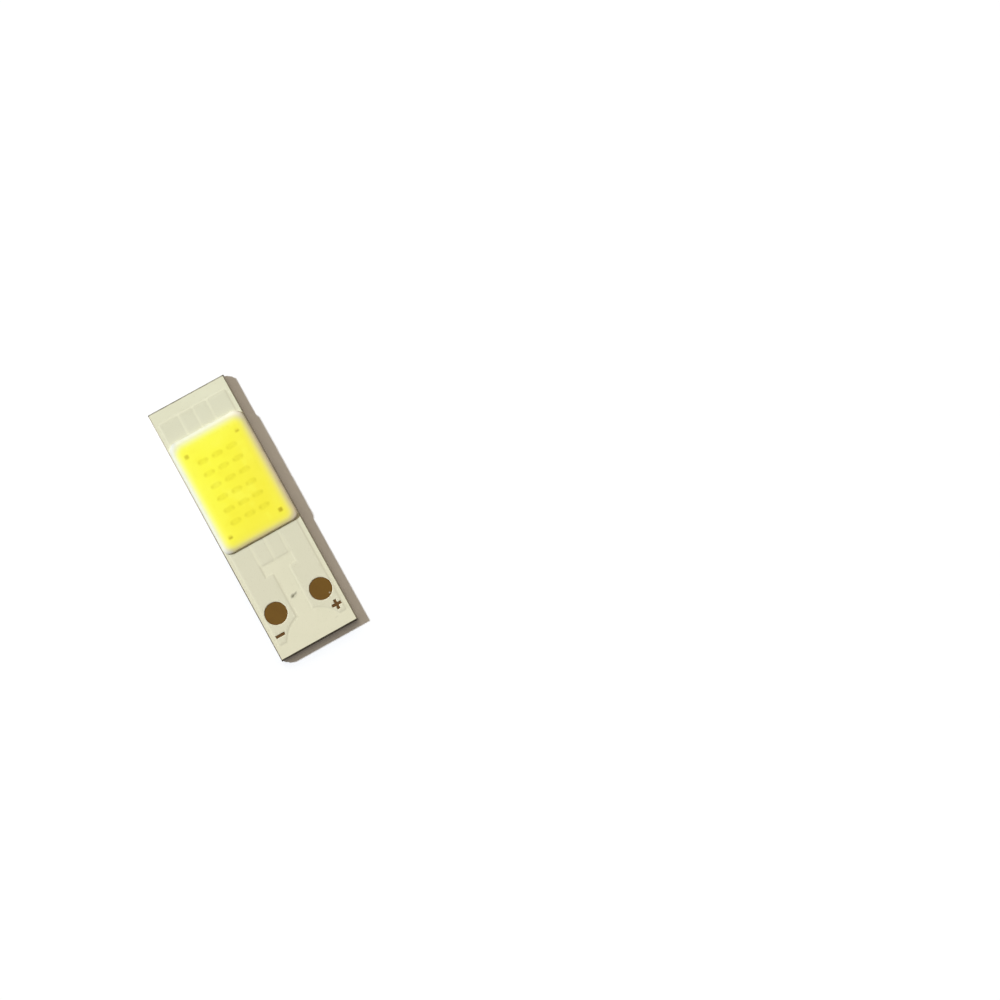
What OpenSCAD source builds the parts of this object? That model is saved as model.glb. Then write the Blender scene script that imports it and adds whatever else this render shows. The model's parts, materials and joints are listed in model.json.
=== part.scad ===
// Chip-on-board light module on a metal-core strip board.
// An aluminium core carries an insulating layer, a copper circuit and white solder
// mask. Flip-mounted LED dice are soldered across the gaps between the copper strips,
// and a silicone dam holds yellow phosphor gel over them. Two round openings in the
// mask are the solder pads, marked minus and plus.
// X runs across the board with plus at +X. Y runs along it with the pads at -Y.
// Z is up, and z = 0 is the underside that lies on a heat sink. All sizes are mm.

/* [Board] */

// Width of the board along X
board_w = 11; // [9:0.5:14]
// Length of the board along Y
board_l = 36; // [34:0.5:44]
// Thickness of the aluminium core
base_t = 1; // [0.8:0.1:2]
// Depth of the score bevel along each edge of both faces
score_depth = 0.3; // [0.1:0.05:0.35]
// How far the score bevel cuts in from the board's edge
score_inset = 0.1; // [0.05:0.05:0.3]

/* [Layers] */

// Thickness of the insulating layer on the core
dielectric_t = 0.1; // [0.06:0.02:0.2]
// Thickness of the copper circuit
copper_t = 0.07; // [0.035:0.005:0.105]
// Thickness of the solder mask, on top of the copper and down its sides
mask_t = 0.04; // [0.02:0.01:0.06]
// How far the mask steps down beside the copper, where its lacquer pools
mask_step = 0.03; // [0.01:0.01:0.05]
// Strip of insulating layer left bare around the mask
mask_margin = 0.05; // [0.05:0.05:0.3]

/* [Circuit] */

// Gap between neighbouring copper strips
trace_gap = 0.3; // [0.2:0.05:0.5]
// Corner radius of the copper
trace_r = 0.25; // [0.1:0.05:0.35]
// Copper to the board's long edges
copper_side = 0.7; // [0.6:0.05:0.9]
// Copper strips to the board's +Y end
strip_margin = 1.85; // [1:0.05:3]
// Lower end of the link strips from the board's -Y end
link_end = 11.75; // [11:0.05:12.5]
// Step where each bus widens, from the board's -Y end
bus_step = 10.25; // [9:0.05:10.5]
// Lower end of each bus from the board's -Y end
bus_end = 1.8; // [1.3:0.05:2]
// Copper-free radius for a clamping screw head, centred on the board's -Y end
keepout_r = 4.2; // [3:0.1:4.2]

/* [Solder pads and polarity marks] */

// Diameter of each round solder pad
pad_d = 2.95; // [2:0.05:3.2]
// Pad centres from the board's -Y end
pad_from_end = 5.67; // [5.4:0.01:6.5]
// Copper left between a pad and the bus's outer edge
pad_edge = 0.1; // [0.06:0.02:0.3]
// Copper left between a pad and the bus's inner edge
pad_land = 0.6; // [0.3:0.1:0.8]
// Length of the minus mark and of the plus mark's arms
mark_l = 1.3; // [1:0.05:1.5]
// Width of the minus mark and of the plus mark's arms
mark_w = 0.38; // [0.3:0.02:0.6]
// Corner radius of the marks
mark_r = 0.12; // [0.05:0.01:0.14]
// Copper left between a mark and the bus's outer edge
mark_edge = 0.1; // [0.06:0.02:0.12]
// Mark centres from the board's -Y end
mark_from_end = 2.95; // [2.7:0.05:3.2]

/* [Dice] */

// Columns of dice, one on each gap between the copper strips
columns = 3; // [1:1:3]
// Rows of dice along Y
rows = 6; // [1:1:7]
// Distance between columns, which is also the pitch of the copper strips
column_pitch = 2.05; // [1.9:0.05:2.2]
// Distance between rows
row_pitch = 1.76; // [1:0.02:1.9]
// Centre of the dice from the board's +Y end
dice_from_end = 13.2; // [12.8:0.1:13.6]
// Length of a die across its gap
die_l = 1; // [0.8:0.05:1.2]
// Width of a die along Y
die_w = 0.55; // [0.4:0.05:0.8]
// Thickness of a die
die_t = 0.15; // [0.1:0.01:0.2]
// Overall length of a die's two solder joints
joint_span = 1.5; // [1.4:0.05:1.6]
// Width of a solder joint along Y
joint_w = 0.5; // [0.3:0.05:0.6]
// Height of the solder between copper and die
joint_t = 0.06; // [0.06:0.01:0.1]
// Copper left between a solder joint and the gap
joint_land = 0.05; // [0.02:0.01:0.1]
// How far the solder climbs the end of the die
joint_climb = 0.06; // [0.02:0.01:0.09]
// Side of the square sighting openings at the corners of the field
sight_w = 0.55; // [0.3:0.05:0.8]
// Sighting openings to the copper's outer edge, centre to edge
sight_side = 1.18; // [1.1:0.02:1.3]
// Distance between the sighting openings along Y
sight_pitch = 11.7; // [11:0.1:12]

/* [Dam and phosphor gel] */

// Width of the dam bead at its foot
dam_w = 1.2; // [0.8:0.05:1.3]
// Height of the dam bead above the mask on the copper
dam_h = 0.45; // [0.4:0.05:0.6]
// Height of the bead's upright sides above the mask on the copper
dam_wall = 0.2; // [0.1:0.05:0.25]
// Radius of the turn from the bead's sides to its crown
dam_turn = 0.1; // [0.05:0.01:0.14]
// Dam to the edge of the mask along the long sides
dam_side = 0.05; // [0.05:0.05:0.3]
// Overall length of the dam along Y
dam_l = 16.1; // [15.5:0.1:17]
// Corner radius of the dam along the middle of its bead
dam_corner = 0.7; // [0.7:0.05:1.5]
// Centre of the dam from the board's +Y end
dam_from_end = 12.9; // [12.5:0.1:13.2]
// How far below the dam's crest the gel's surface meets the bead's middle
gel_drop = 0.03; // [0.02:0.01:0.06]
// Rise of the gel from that edge to its flat middle
gel_crown = 0.09; // [0.05:0.01:0.15]
// Width of the rounded shoulder around the gel's flat middle
gel_shoulder = 0.7; // [0.6:0.1:2]

/* [Hidden] */

$fn = 96;

// What a cutter runs on past the face it opens
past = 1;
// Closest the dam's corner may come to turning about its own foot
corner_clear = 0.1;
// Least height of a die's underside above the mask
die_clear = 0.01;

// Heights of the layers
z_dielectric = base_t + dielectric_t;
z_copper = z_dielectric + copper_t;
z_mask_high = z_copper + mask_t;
z_mask_low = z_mask_high - mask_step;
z_die = z_copper + max(joint_t, mask_t + die_clear);
z_crest = z_mask_high + dam_h;
z_gel = z_crest - gel_drop + gel_crown;

// Half sizes of the layers in plan
end_y = board_l / 2;
layer_x = board_w / 2 - score_inset;
layer_y = end_y - score_inset;
mask_x = layer_x - mask_margin;
mask_y = layer_y - mask_margin;

// Edges of the copper
copper_x = board_w / 2 - copper_side;
strip_end_y = end_y - strip_margin;
link_end_y = link_end - end_y;
bus_step_y = bus_step - end_y;
bus_end_y = bus_end - end_y;
pad_x = copper_x - pad_edge - pad_d / 2;
pad_y = pad_from_end - end_y;
bus_inner_x = max(pad_x - pad_d / 2 - pad_land, trace_gap / 2);
mark_x = copper_x - mark_edge - mark_l / 2;
mark_y = mark_from_end - end_y;

// Places of the dice and sighting openings
dice_y = end_y - dice_from_end;
joint_in = trace_gap / 2 + joint_land;
joint_out = joint_span / 2;
sight_x = copper_x - sight_side;

// Middle line of the dam's bead
dam_y = end_y - dam_from_end;
bead_x = mask_x - dam_side - dam_w / 2;
bead_y = (dam_l - dam_w) / 2;
bead_corner = max(dam_corner, dam_w / 2 + corner_clear);

// Bead in section: its two turns, the crown arc that runs into them, and where they meet
turn_x = dam_w / 2 - dam_turn;
turn_z = z_mask_high + dam_wall;
crown_rise = dam_h - dam_wall;
crown_r = (turn_x * turn_x + crown_rise * crown_rise - dam_turn * dam_turn)
    / (2 * (crown_rise - dam_turn));
crown_x = turn_x * crown_r / (crown_r - dam_turn);

// Radius of the gel's shoulder
gel_r = (gel_shoulder * gel_shoulder + gel_crown * gel_crown) / (2 * gel_crown);

// X of a gap between strips, where a column of dice stands
function gap_x(column) = (column - (columns + 1) / 2) * column_pitch;
// Y of a row of dice, counted from the +Y end
function row_y(row) = dice_y - (row - (rows + 1) / 2) * row_pitch;
// Names of the repeated nodes
function link_name(i) = str("link_strip_", i);
function die_name(row, column) = str("led_die_r", row, "c", column);

// Block between two opposite corners
module block(low, high) {
    translate(low) cube(high - low);
}

// Flat outline raised from height low to height high
module slab(low, high) {
    translate([0, 0, low]) linear_extrude(high - low) children();
}

// Section in X and Z, run along Y by length and centred on y = 0
module along_y(length) {
    rotate([90, 0, 0]) linear_extrude(length, center = true) children();
}

// Section in Y and Z, run along X by length and centred on x = 0
module along_x(length) {
    rotate([90, 0, 90]) linear_extrude(length, center = true) children();
}

// Rectangle between two opposite corners, its corners rounded to radius r
module rounded(low, high, r) {
    size = high - low;
    translate([low.x + r, low.y]) square([size.x - 2 * r, size.y]);
    translate([low.x, low.y + r]) square([size.x, size.y - 2 * r]);
    for (x = [low.x + r, high.x - r], y = [low.y + r, high.y - r])
        translate([x, y]) circle(r);
}

// Rounded rectangle of the given size about the origin
module rounded_about(size, r) {
    rounded(-size / 2, size / 2, r);
}

// Board in section across width w, with a score bevel at each corner
module scored_section(w) {
    polygon([
        [-w / 2 + score_inset, 0],
        [w / 2 - score_inset, 0],
        [w / 2, score_depth],
        [w / 2, base_t - score_depth],
        [w / 2 - score_inset, base_t],
        [-w / 2 + score_inset, base_t],
        [-w / 2, base_t - score_depth],
        [-w / 2, score_depth]
    ]);
}

// Aluminium core
module base_plate() {
    color("silver") intersection() {
        along_y(board_l) scored_section(board_w);
        along_x(board_w) scored_section(board_l);
    }
}

// Insulating layer bonded to the core
module dielectric_layer() {
    color("darkkhaki")
        block([-layer_x, -layer_y, base_t], [layer_x, layer_y, z_dielectric]);
}

// Copper between two neighbouring gaps, its outline grown by g
module link_outline(i, g = 0) {
    rounded(
        [gap_x(i) + trace_gap / 2 - g, link_end_y - g],
        [gap_x(i + 1) - trace_gap / 2 + g, strip_end_y + g],
        trace_r + g
    );
}

// Copper of the +X bus, its outline grown by g
module bus_outline(g = 0) {
    difference() {
        union() {
            rounded(
                [gap_x(columns) + trace_gap / 2 - g, pad_y],
                [copper_x + g, strip_end_y + g],
                trace_r + g
            );
            rounded(
                [bus_inner_x - g, bus_end_y - g],
                [copper_x + g, bus_step_y + g],
                trace_r + g
            );
        }
        translate([0, -end_y]) circle(keepout_r - g);
    }
}

// Link strip i, which joins one column of dice to the next
module link_strip(i) {
    color("peru") slab(z_dielectric, z_copper) link_outline(i);
}

// Bus on the plus side, with its solder pad
module positive_bus() {
    color("peru") slab(z_dielectric, z_copper) bus_outline();
}

// Bus on the minus side, with its solder pad
module negative_bus() {
    color("peru") slab(z_dielectric, z_copper) mirror([1, 0, 0]) bus_outline();
}

// Outline of the whole circuit, grown by g
module circuit_outline(g = 0) {
    bus_outline(g);
    mirror([1, 0, 0]) bus_outline(g);
    for (i = [1:1:columns - 1]) link_outline(i, g);
}

// Mask where it stands over the copper and down the copper's sides
module raised_mask() {
    slab(z_dielectric, z_mask_high) circuit_outline(mask_t);
}

// Square openings at the corners of the dice field
module sight_openings() {
    for (x = [-sight_x, sight_x], y = [-sight_pitch / 2, sight_pitch / 2])
        translate([x, dice_y + y]) square(sight_w, center = true);
}

// Openings over the solder joints of every die
module joint_openings() {
    for (row = [1:1:rows], column = [1:1:columns], side = [-1, 1])
        translate([gap_x(column) + side * (joint_in + joint_out) / 2, row_y(row)])
            square([joint_out - joint_in, joint_w], center = true);
}

// Round pad openings with the minus and plus marks beside them
module pad_openings() {
    for (side = [-1, 1]) {
        translate([side * pad_x, pad_y]) circle(d = pad_d);
        translate([side * mark_x, mark_y]) rounded_about([mark_l, mark_w], mark_r);
    }
    translate([mark_x, mark_y]) rounded_about([mark_w, mark_l], mark_r);
}

// White solder mask, stepped over the copper and open at the pads and dice
module solder_mask() {
    color("ivory") difference() {
        union() {
            block([-mask_x, -mask_y, z_dielectric], [mask_x, mask_y, z_mask_low]);
            raised_mask();
        }
        slab(z_dielectric - past, z_copper) circuit_outline();
        slab(z_dielectric - past, z_mask_high + past) {
            pad_openings();
            joint_openings();
            sight_openings();
        }
    }
}

// One solder joint, on the +X side of its die
module solder_joint() {
    along_y(joint_w) polygon([
        [joint_in, z_copper],
        [joint_out, z_copper],
        [joint_out, z_mask_high],
        [die_l / 2, z_die + joint_climb],
        [die_l / 2, z_die],
        [joint_in, z_die]
    ]);
}

// Solder joints under both ends of every die
module die_solder() {
    color("lightsteelblue")
        for (row = [1:1:rows], column = [1:1:columns], side = [0, 1])
            translate([gap_x(column), row_y(row), 0])
                mirror([side, 0, 0]) solder_joint();
}

// One LED die, flip-mounted across its gap
module led_die(row, column) {
    color("lightcyan") translate([gap_x(column), row_y(row), 0])
        block([-die_l / 2, -die_w / 2, z_die], [die_l / 2, die_w / 2, z_die + die_t]);
}

// Bead in section: upright sides from the lower mask, a tight turn on each, and a flat
// crown arc that runs smoothly from turn to turn
module bead_section() {
    translate([-dam_w / 2, z_mask_low]) square([dam_w, turn_z - z_mask_low]);
    for (x = [-turn_x, turn_x]) translate([x, turn_z]) circle(dam_turn);
    intersection() {
        translate([0, z_crest - crown_r]) circle(crown_r);
        translate([-crown_x, turn_z]) square([2 * crown_x, crown_rise]);
    }
}

// Bead run round its rounded rectangle
module bead_ring() {
    translate([0, dam_y, 0]) for (side = [0, 1]) {
        rotate([0, 0, 180 * side]) {
            translate([bead_x, 0, 0])
                along_y(2 * (bead_y - bead_corner)) bead_section();
            translate([0, bead_y, 0])
                along_x(2 * (bead_x - bead_corner)) bead_section();
            translate([bead_x - bead_corner, bead_y - bead_corner, 0])
                rotate_extrude(angle = 90) translate([bead_corner, 0]) bead_section();
            translate([bead_corner - bead_x, bead_y - bead_corner, 0])
                rotate([0, 0, 90]) rotate_extrude(angle = 90)
                    translate([bead_corner, 0]) bead_section();
        }
    }
}

// Silicone dam, its foot following the steps of the mask
module dam() {
    color("white") difference() {
        bead_ring();
        raised_mask();
    }
}

// Gel in section across half width half: flat, with a rounded shoulder each side
module gel_section(half) {
    flat = half - gel_shoulder;
    translate([-flat, z_mask_low]) square([2 * flat, z_gel - z_mask_low]);
    for (side = [0, 1]) mirror([side, 0]) intersection() {
        translate([flat, z_gel - gel_r]) circle(gel_r);
        translate([flat, z_mask_low]) square([gel_shoulder, z_gel - z_mask_low]);
    }
}

// Gel before the dam and the dice are taken out of it
module gel_fill() {
    translate([0, dam_y, 0]) intersection() {
        along_y(2 * bead_y) gel_section(bead_x);
        along_x(2 * bead_x) gel_section(bead_y);
        slab(z_mask_low, z_gel) rounded_about([2 * bead_x, 2 * bead_y], bead_corner);
    }
}

// Yellow phosphor gel over the dice, filling the dam
module phosphor_gel() {
    color("gold") difference() {
        union() {
            difference() {
                gel_fill();
                raised_mask();
            }
            slab(z_copper, z_mask_high) sight_openings();
        }
        bead_ring();
        die_solder();
        for (row = [1:1:rows], column = [1:1:columns]) led_die(row, column);
    }
}

base_plate();
dielectric_layer();
negative_bus();
for (i = [1:1:columns - 1])
    link_strip(i);
positive_bus();
solder_mask();
die_solder();
for (row = [1:1:rows], column = [1:1:columns])
    led_die(row, column);
dam();
phosphor_gel();
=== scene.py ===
# %% [markdown]
# # Dressing a chip-on-board light module
#
# The object is a small LED light module: an aluminium board with an insulating layer, a copper circuit,
# white solder mask, eighteen dice, and a pool of yellow phosphor gel held in by a silicone dam. Its solids
# are already built. This lesson loads them as a fixed frame and lays finished surfaces over them, so the
# sizes of those solids are read from the frame. Lengths are in metres, and a size in millimetres is
# written with `* mm`.

# %% Load the solids
import json
import math

import bpy
import numpy as np
from mathutils import Matrix, Vector


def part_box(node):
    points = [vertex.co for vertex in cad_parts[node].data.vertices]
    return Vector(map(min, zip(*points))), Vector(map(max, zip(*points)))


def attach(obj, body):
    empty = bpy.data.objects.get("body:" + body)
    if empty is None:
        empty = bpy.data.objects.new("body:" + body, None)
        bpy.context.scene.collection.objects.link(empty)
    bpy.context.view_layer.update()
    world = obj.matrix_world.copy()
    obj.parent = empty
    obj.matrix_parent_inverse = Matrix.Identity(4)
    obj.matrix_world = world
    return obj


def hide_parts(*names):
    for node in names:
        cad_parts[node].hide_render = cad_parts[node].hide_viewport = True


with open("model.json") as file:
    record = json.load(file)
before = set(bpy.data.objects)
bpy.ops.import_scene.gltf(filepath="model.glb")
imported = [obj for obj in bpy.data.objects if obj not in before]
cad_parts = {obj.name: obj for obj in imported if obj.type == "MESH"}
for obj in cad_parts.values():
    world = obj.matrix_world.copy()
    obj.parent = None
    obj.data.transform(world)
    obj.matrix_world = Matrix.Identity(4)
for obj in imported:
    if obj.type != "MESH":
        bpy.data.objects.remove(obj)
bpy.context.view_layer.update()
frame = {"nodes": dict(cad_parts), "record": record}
mm = 0.001

# %% [markdown]
# ## The camera
#
# The board is seen almost from straight above, turned in the picture and a little towards the pads' end.
# A camera can be aimed with a constraint, but a plain matrix is easier to read: one axis looks at a point on
# the floor, one points right, and one points up. The place was worked out from the board's corners, and the
# aim lies to the right of the board because the board stands in the left half of the picture.

# %% Make the camera
LENS = 85.0                                           # millimetres, on Blender's 36 mm sensor
CAMERA_PLACE = Vector((12.84, -45.30, 299.36)) * mm
CAMERA_AIM = Vector((28.61, -13.43, 0.0)) * mm
PICTURE_TURN = math.radians(29.2)                     # the board's length leans this far from upright


def aimed(place, aim, turn):
    """Matrix of a camera at place: it looks at aim, and its up leans by turn from +Y towards +X."""
    look = (aim - place).normalized()
    right = look.cross(Vector((math.sin(turn), math.cos(turn), 0.0))).normalized()
    up = right.cross(look)
    matrix = Matrix((right, up, -look)).transposed().to_4x4()
    matrix.translation = place
    return matrix


camera = bpy.data.objects.new("camera", bpy.data.cameras.new("camera"))
camera.data.lens = LENS
camera.data.clip_start = 10 * mm
camera.matrix_world = aimed(CAMERA_PLACE, CAMERA_AIM, PICTURE_TURN)
bpy.context.scene.collection.objects.link(camera)
bpy.context.scene.camera = camera
print("camera: stands", round(CAMERA_PLACE.length / mm), "mm from the board's middle")

# %% [markdown]
# ## A kit for node trees
#
# A finish here is a tree of nodes that ends in one Principled shader, and the sky is a small tree as well.
# Wiring nodes by hand takes many lines, so a class does it: each call adds one node and gives back its
# output, and outputs can be passed to the next call. Patterns read Object coordinates, which are the board's
# own metres, so a pattern's size is its real size.

# %% A class that wires nodes


def paint(red, green, blue):
    """A colour given as 0 to 255 on the screen, turned into the linear light that a shader takes."""
    screen = np.array((red, green, blue)) / 255
    linear = np.where(screen < 0.04045, screen / 12.92, ((screen + 0.055) / 1.055) ** 2.4)
    return (*linear.tolist(), 1.0)


class Nodes:
    """A node tree in the making. Each method adds one node and returns its output."""

    def __init__(self, tree):
        self.nodes = tree.nodes
        self.links = tree.links
        self.place = None

    def feed(self, socket, value):
        """Links an output to the socket, or sets the socket to a plain value."""
        if isinstance(value, bpy.types.NodeSocket):
            self.links.new(value, socket)
        else:
            socket.default_value = value

    def read(self, kind, output):
        """Output of a node that has no inputs, such as coordinates."""
        return self.nodes.new(kind).outputs[output]

    def math(self, operation, *values):
        """Arithmetic on numbers."""
        node = self.nodes.new("ShaderNodeMath")
        node.operation = operation
        for socket, value in zip(node.inputs, values):
            self.feed(socket, value)
        return node.outputs[0]

    def minus(self, first, second):
        """First number less the second."""
        return self.math("SUBTRACT", first, second)

    def absolute(self, value):
        """A number without its sign."""
        return self.math("ABSOLUTE", value)

    def times(self, *values):
        """Product of several numbers."""
        product = values[0]
        for value in values[1:]:
            product = self.math("MULTIPLY", product, value)
        return product

    def span(self, value, low, high, to_low=0.0, to_high=1.0):
        """Smooth passage from to_low to to_high while value goes from low to high."""
        node = self.nodes.new("ShaderNodeMapRange")
        node.interpolation_type = "SMOOTHSTEP"
        for socket, given in zip(node.inputs, (value, low, high, to_low, to_high)):
            self.feed(socket, given)
        return node.outputs[0]

    def mix(self, share, first, second, blend="MIX"):
        """Colour that goes from first to second as share goes from 0 to 1."""
        node = self.nodes.new("ShaderNodeMix")
        node.data_type = "RGBA"
        node.blend_type = blend
        sockets = {socket.identifier: socket for socket in node.inputs}
        self.feed(sockets["Factor_Float"], share)
        self.feed(sockets["A_Color"], first)
        self.feed(sockets["B_Color"], second)
        return node.outputs[2]

    def ramp(self, value, stops):
        """Colour along a row of (position, colour) stops."""
        node = self.nodes.new("ShaderNodeValToRGB")
        elements = node.color_ramp.elements
        while len(elements) < len(stops):
            elements.new(0.5)
        for element, (position, colour) in zip(elements, stops):
            element.position = position
            element.color = colour
        self.feed(node.inputs[0], value)
        return node.outputs["Color"]

    def noise(self, size, detail=2.0, place=None, output="Fac"):
        """Cloudy numbers about 0.5, with features of the given size."""
        node = self.nodes.new("ShaderNodeTexNoise")
        self.feed(node.inputs["Vector"], place or self.place)
        node.inputs["Scale"].default_value = 1.0 / size
        node.inputs["Detail"].default_value = detail
        return node.outputs[output]

    def grains(self, size):
        """Distance to the nearest of many scattered grains, in grain spacings."""
        node = self.nodes.new("ShaderNodeTexVoronoi")
        self.feed(node.inputs["Vector"], self.place)
        node.inputs["Scale"].default_value = 1.0 / size
        return node.outputs["Distance"]

    def local(self, centre, size, turn=0.0, place=None):
        """Coordinates about centre, turned about Z by turn, in units of size along each axis."""
        node = self.nodes.new("ShaderNodeMapping")
        node.vector_type = "TEXTURE"
        self.feed(node.inputs["Vector"], place or self.place)
        node.inputs["Location"].default_value = centre
        node.inputs["Rotation"].default_value = (0.0, 0.0, turn)
        node.inputs["Scale"].default_value = size
        return node.outputs[0]

    def wander(self, size, amount):
        """Coordinates that stray by up to half of amount either way, in clouds of the given size."""
        node = self.nodes.new("ShaderNodeVectorMath")
        node.operation = "MULTIPLY_ADD"
        self.feed(node.inputs[0], self.noise(size, output="Color"))
        node.inputs[1].default_value = (amount, amount, amount)
        self.feed(node.inputs[2], self.local((amount / 2, amount / 2, amount / 2), (1.0, 1.0, 1.0)))
        return node.outputs[0]

    def axes(self, vector=None):
        """X, Y and Z of a vector."""
        node = self.nodes.new("ShaderNodeSeparateXYZ")
        self.feed(node.inputs[0], vector or self.place)
        return node.outputs

    def length(self, vector):
        """Length of a vector."""
        node = self.nodes.new("ShaderNodeVectorMath")
        node.operation = "LENGTH"
        self.feed(node.inputs[0], vector)
        return node.outputs["Value"]

    def hypot(self, x, y, power=2.0):
        """Length of the plane vector with legs x and y. A higher power makes its circles squarer."""
        legs = [self.math("POWER", self.absolute(leg), power) for leg in (x, y)]
        return self.math("POWER", self.math("ADD", *legs), 1.0 / power)


class Finish(Nodes):
    """A material with one Principled shader. Its sockets can be given as keywords, with _ for a space."""

    def __init__(self, name, **sockets):
        self.material = bpy.data.materials.new(name)
        self.material.use_nodes = True
        super().__init__(self.material.node_tree)
        self.shader = self.nodes["Principled BSDF"]
        self.place = self.read("ShaderNodeTexCoord", "Object")
        for socket, value in sockets.items():
            self.set(socket.replace("_", " "), value)

    def set(self, name, value):
        """Gives the shader's own socket a value or an output."""
        self.feed(self.shader.inputs[name], value)

    def attribute(self, name, output="Fac"):
        """A number or vector that the mesh carries at its points."""
        node = self.nodes.new("ShaderNodeAttribute")
        node.attribute_name = name
        return node.outputs[output]

    def bump(self, height, depth):
        """Raises the shading by depth metres where height goes from 0 to 1."""
        node = self.nodes.new("ShaderNodeBump")
        self.feed(node.inputs["Height"], height)
        node.inputs["Distance"].default_value = depth
        self.set("Normal", node.outputs[0])

    def roughen(self, clouds, low, high):
        """Roughness from low to high, as the clouds go from their dark to their bright parts."""
        self.set("Roughness", self.span(clouds, 0.3, 0.7, low, high))

    def done(self):
        """Says what was made, and gives the finish back."""
        print("finish:", self.material.name, "with", len(self.nodes), "nodes")
        return self


print("kit:", len([name for name in vars(Nodes) if not name.startswith("_")]), "kinds of call for any tree")

# %% [markdown]
# ## The light
#
# A sun lamp from the far left gives the shadow on the near and right sides, and a dim warm sky fills that
# shadow. The two are balanced: a white surface that faces up gets just about 1 in each channel from them
# together, so a colour renders as it is written. The sun is a shade cooler than the sky for that reason.
#
# The sky fades from the far side to the near side by a power of a ramp, which darkens the near edge and the
# shadow beside it. A gain makes up for that on level faces. It comes from the sky's plan, a disc: over a
# level face, equal areas of the disc count the same. To the camera and in reflections, the sky looks white.

# %% Light the scene
KEY_FROM = Vector((-1.15, 0.85, 1.0)).normalized()
KEY_SOFTNESS = math.radians(4)
SKY = np.array((0.330, 0.275, 0.205))
SKY_FADE = 1.5                                        # power of the ramp
LEVEL = 1.0                                           # light on a white surface that faces up
WHITE = (1.0, 1.0, 1.0, 1.0)
DISC_STRIPS = 401                                     # the sky's plan is summed in strips

disc_y = np.linspace(-1.0, 1.0, DISC_STRIPS)
disc_width = np.sqrt(1.0 - disc_y ** 2)
sky_gain = float(disc_width.sum() / (disc_width * (0.5 + 0.5 * disc_y) ** SKY_FADE).sum())
key_share = (LEVEL - SKY) * math.pi / KEY_FROM.z
key = bpy.data.objects.new("key", bpy.data.lights.new("key", "SUN"))
key.data.angle = KEY_SOFTNESS
key.data.energy = float(key_share.max())
key.data.color = key_share / key_share.max()
key.rotation_mode = "QUATERNION"
key.rotation_quaternion = KEY_FROM.to_track_quat("Z", "Y")
bpy.context.scene.collection.objects.link(key)

world = bpy.data.worlds.new("sky")
world.use_nodes = True
bpy.context.scene.world = world
bpy.context.scene.view_settings.view_transform = "Standard"
sky = Nodes(world.node_tree)
rays = sky.nodes.new("ShaderNodeLightPath").outputs
mirrored = sky.math("ADD", rays["Is Glossy Ray"], rays["Is Transmission Ray"])
seen = sky.math("MINIMUM", sky.math("ADD", rays["Is Camera Ray"], mirrored), 1.0)
towards_far = sky.axes(sky.read("ShaderNodeTexCoord", "Generated"))[1]
faded = sky.math("POWER", sky.math("MULTIPLY_ADD", towards_far, 0.5, 0.5), SKY_FADE)
unseen_glow = sky.times(sky.minus(1.0, seen), faded, sky_gain)
sky_shader = sky.nodes["Background"]
sky.feed(sky_shader.inputs["Color"], sky.mix(seen, (*SKY, 1.0), WHITE))
sky.feed(sky_shader.inputs["Strength"], sky.math("ADD", seen, unseen_glow))
print("light: sun", round(key.data.energy, 2), "with colour", [round(c, 2) for c in key.data.color])

# %% [markdown]
# ## The floor
#
# The floor is a single large sheet, white like the sky, so the two run into each other with no horizon. It
# is an ordinary matt surface, because it has to catch the board's shadow. A trace of its own light, which
# only the camera sees, lifts the lit part to full white and leaves the shadow almost as it is.

# %% Lay the floor
FLOOR_HALF = 3.0
FLOOR_GLOW = 0.03

floor_mesh = bpy.data.meshes.new("floor")
floor_corners = np.array(((-1, -1, 0), (1, -1, 0), (1, 1, 0), (-1, 1, 0))) * FLOOR_HALF
floor_mesh.from_pydata(floor_corners.tolist(), [], [(0, 1, 2, 3)])
floor = bpy.data.objects.new("floor", floor_mesh)
bpy.context.scene.collection.objects.link(floor)
floor_white = Finish("floor_white", Roughness=1.0, Specular_IOR_Level=0.0, Base_Color=WHITE)
floor_white.set("Emission Color", WHITE)
floor_ray = floor_white.read("ShaderNodeLightPath", "Is Camera Ray")
floor_white.set("Emission Strength", floor_white.math("MULTIPLY", floor_ray, FLOOR_GLOW))
floor_mesh.materials.append(floor_white.material)
print("floor:", 2 * FLOOR_HALF, "m square, at the height of the board's underside")

# %% [markdown]
# ## From arrays to a mesh
#
# Every new piece below is worked out as whole numpy arrays: an array of points, and arrays of faces that
# hold point numbers. Blender can take such arrays one face at a time, but `foreach_set` copies them in one
# go, which is fast and keeps the order. The piece stays at the origin, because its place is in its points.

# %% Helpers for grids and meshes


def grid_quads(rows, columns, around_rows=False, around_columns=False):
    """Four-cornered faces of a grid of points, numbered row by row. A grid that closes on itself wraps."""
    row = np.arange(rows if around_rows else rows - 1)[:, None]
    column = np.arange(columns if around_columns else columns - 1)[None, :]
    next_row, next_column = (row + 1) % rows, (column + 1) % columns
    corners = [
        row * columns + column,
        row * columns + next_column,
        next_row * columns + next_column,
        next_row * columns + column,
    ]
    return np.stack(corners, axis=-1).reshape(-1, 4)


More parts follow.
